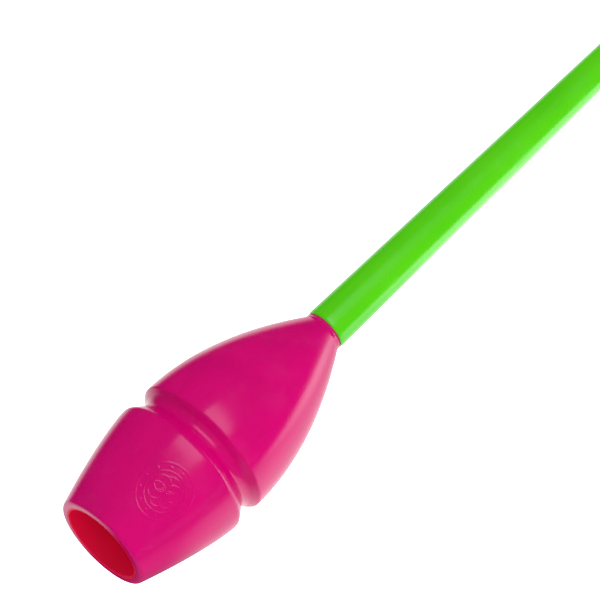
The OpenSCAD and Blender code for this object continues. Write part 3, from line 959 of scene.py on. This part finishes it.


# The floor's glow in reflections is a painted reflection that only reflections see, on the lit side of the
# club and on the far side.
# Where it falls near the club and ends under it, that is a painted shade of the club. Each zone has its axis,
# where a change starts and ends in metres from the frame's origin, and the factor before and after it.
LIT_ZONES = (
    ("Y", -0.55, -0.06, 0.0, 1.0),      # rises towards the club
    ("Y", -0.10, -0.03, 1.0, 0.62),     # falls near it
    ("Y", -0.02, 0.0, 1.0, 0.0),        # ends under it
    ("X", -0.215, -0.16, 0.15, 1.0),    # little beyond the mouth
    ("X", -0.06, 0.02, 1.0, 2.9),       # more beside the neck
    ("X", 0.15, 0.19, 1.0, 0.25))       # less beside the ball
FAR_ZONES = (("Y", 0.005, 0.03, 0.0, 1.0), ("Y", 0.06, 0.12, 1.0, 0.0))
DIMMING = (0.0, 0.5, 1.0, 0.3)    # from no glow to a bright one, the share of colour lost in reflections
FLOOR_GLARE = 1.5                 # brightness that hides the floor's shadows from the camera


def zoned(net, place, glow, zones):
    """A glow times the factor of each of its zones, as a socket."""
    for axis, *change in zones:
        glow = net.maths("MULTIPLY", net.ramp(place.outputs[axis], *change), glow)
    return glow


def floor_finish(shade, glow, far_glow):
    """Floor that is plain and pale to the camera. In reflections it is black, but for zones that glow, a
    painted reflection.
    """
    finish, net, shader = fresh_finish("pale_floor", 0.9, Specular_IOR_Level=0.0)
    if net is None:
        return finish
    path = net.add("ShaderNodeLightPath").outputs
    vector = net.add("ShaderNodeTexCoord").outputs["Object"]
    place = net.add("ShaderNodeSeparateXYZ")
    net.join(vector, place.inputs["Vector"])
    sides = net.maths("ADD", zoned(net, place, glow, LIT_ZONES), zoned(net, place, far_glow, FAR_ZONES))
    pale = net.tint(net.noise(vector, 3.0), tuple(shade), tuple(part * 0.97 for part in shade))
    dim = net.ramp(sides, *DIMMING)
    net.join(net.tint(net.maths("MULTIPLY", path["Is Glossy Ray"], dim), pale, (0.0, 0.0, 0.0)),
             shader.inputs["Base Color"])
    shader.inputs["Emission Color"].default_value = (1.0, 1.0, 1.0, 1.0)
    mirrored = net.maths("MULTIPLY", path["Is Glossy Ray"], sides)
    net.join(net.maths("ADD", net.maths("MULTIPLY", path["Is Camera Ray"], FLOOR_GLARE), mirrored),
             shader.inputs["Emission Strength"])
    return finish


FLOOR_HALF = 5.0
# The overhead softbox leans from the camera's direction towards the ball, and rolls across the view
OVERHEAD_LEAN = math.radians(33)
OVERHEAD_ROLL = math.radians(-13)
OVERHEAD_AWAY, OVERHEAD_SIZE = 0.8, (0.34, 0.65)
# The side panel is turned from the camera's direction across the view
SIDE_TURN = math.radians(72)
SIDE_AWAY, SIDE_SIZE = 1.4, (1.6, 0.5)


class CLUB_OT_stage(bpy.types.Operator):
    """Make the floor, the lights and the camera"""

    bl_idname = "club.make_stage"
    bl_label = "Make stage"

    def execute(self, context):
        stage = context.scene.club_stage
        corners = FLOOR_HALF * np.array([[-1, -1, 0], [1, -1, 0], [1, 1, 0], [-1, 1, 0]])
        floor = surface("floor", corners, np.array([[0, 1, 2, 3]]), np.empty((0, 3), int))
        colours = context.scene.club_colours
        floor.data.materials.append(floor_finish(colours.floor, stage.glow, stage.far_glow))

        az, el = stage.azimuth, stage.elevation
        back = np.array([math.sin(az) * math.cos(el), -math.cos(az) * math.cos(el), math.sin(el)])
        right = np.array([math.cos(az), math.sin(az), 0.0])
        aim = MOUTH + stage.aim_along * ALONG + stage.aim_side * SIDE
        lens = bpy.data.cameras.new("camera")
        lens.lens = stage.lens
        lens.clip_start = 0.1
        lens.clip_end = 50.0
        camera = bpy.data.objects.new("camera", lens)
        camera.matrix_world = facing(aim + back * stage.distance, back, right)
        context.scene.collection.objects.link(camera)
        context.scene.camera = camera

        # Directions square to the view, along the club and across it, as the camera sees them
        forth = ALONG - (ALONG @ back) * back
        forth = forth / np.linalg.norm(forth)
        across = np.cross(forth, back)
        bulb = MOUTH + context.scene.club_bulb.shoulder_at * ALONG
        rolled = math.cos(OVERHEAD_ROLL) * back + math.sin(OVERHEAD_ROLL) * across
        toward = math.cos(OVERHEAD_LEAN) * rolled + math.sin(OVERHEAD_LEAN) * forth
        box_light("overhead", bulb, toward, forth, OVERHEAD_AWAY, OVERHEAD_SIZE, stage.overhead)
        low = math.cos(SIDE_TURN) * back + math.sin(SIDE_TURN) * across
        box_light("side", bulb, low, forth, SIDE_AWAY, SIDE_SIZE, stage.side, mirrored=False)

        world = bpy.data.worlds.new("sky")
        context.scene.world = world
        world.use_nodes = True
        net = Net(world.node_tree)
        ground = world.node_tree.nodes["Background"]
        ground.inputs["Color"].default_value = (1.0, 1.0, 1.0, 1.0)
        path = net.add("ShaderNodeLightPath")
        net.join(net.ramp(path.outputs["Is Camera Ray"], 0.0, 1.0, stage.sky, 1.0), ground.inputs["Strength"])
        world.cycles_visibility.glossy = False
        context.scene.view_settings.view_transform = "Standard"
        return {"FINISHED"}


def facing(place, back, right):
    """Matrix that puts an object at a place, looking against back, with right to its right."""
    over = np.cross(back, right)
    rows = np.eye(4)
    rows[:3, 0], rows[:3, 1], rows[:3, 2], rows[:3, 3] = right, over, back, place
    return Matrix(rows.tolist())


def box_light(name, target, toward, forth, distance, size, power, mirrored=True):
    """A softbox at a distance from the target, facing it, with its first side along forth.

    The camera does not see it, and reflections show it only when it is mirrored.
    """
    light = bpy.data.lights.new(name, "AREA")
    light.shape = "RECTANGLE"
    light.size, light.size_y = size
    light.energy = power
    lamp = bpy.data.objects.new(name, light)
    first = forth - (forth @ toward) * toward
    first = first / np.linalg.norm(first)
    lamp.matrix_world = facing(target + toward * distance, toward, first)
    lamp.visible_camera = False
    lamp.visible_glossy = mirrored
    bpy.context.scene.collection.objects.link(lamp)


class CLUB_PT_panel(bpy.types.Panel):
    """Lists the makers of the club's pieces"""

    bl_label = "Gymnastics club"
    bl_idname = "CLUB_PT_panel"
    bl_space_type = "VIEW_3D"
    bl_region_type = "UI"
    bl_category = "Club"

    def draw(self, context):
        for group in GROUPS:
            box = self.layout.box()
            settings = getattr(context.scene, group)
            for name in settings.__annotations__:
                box.prop(settings, name)
        for maker in MAKERS:
            self.layout.operator(maker.bl_idname)


GROUPS = {
    "club_bulb": ClubBulbSizes, "club_socket": ClubSocketSizes, "club_neck": ClubNeckSizes,
    "club_screw": ClubScrewSizes, "club_colours": ClubColours, "club_stage": ClubStage}
MAKERS = (CLUB_OT_bulb, CLUB_OT_socket, CLUB_OT_neck, CLUB_OT_ball, CLUB_OT_core, CLUB_OT_stage)


def register():
    """Registers the settings, the makers and the panel."""
    for each in (*GROUPS.values(), *MAKERS, CLUB_PT_panel):
        bpy.utils.register_class(each)
    for name, group in GROUPS.items():
        setattr(bpy.types.Scene, name, bpy.props.PointerProperty(type=group))


def unregister():
    """Takes them away again."""
    for name in GROUPS:
        delattr(bpy.types.Scene, name)
    for each in (CLUB_PT_panel, *MAKERS, *GROUPS.values()):
        bpy.utils.unregister_class(each)


def main():
    """Makes every piece and the stage."""
    register()
    for make in (bpy.ops.club.make_bulb, bpy.ops.club.make_socket, bpy.ops.club.make_neck,
                 bpy.ops.club.make_ball, bpy.ops.club.make_core, bpy.ops.club.make_stage):
        make()


if __name__ == "__main__":
    main()
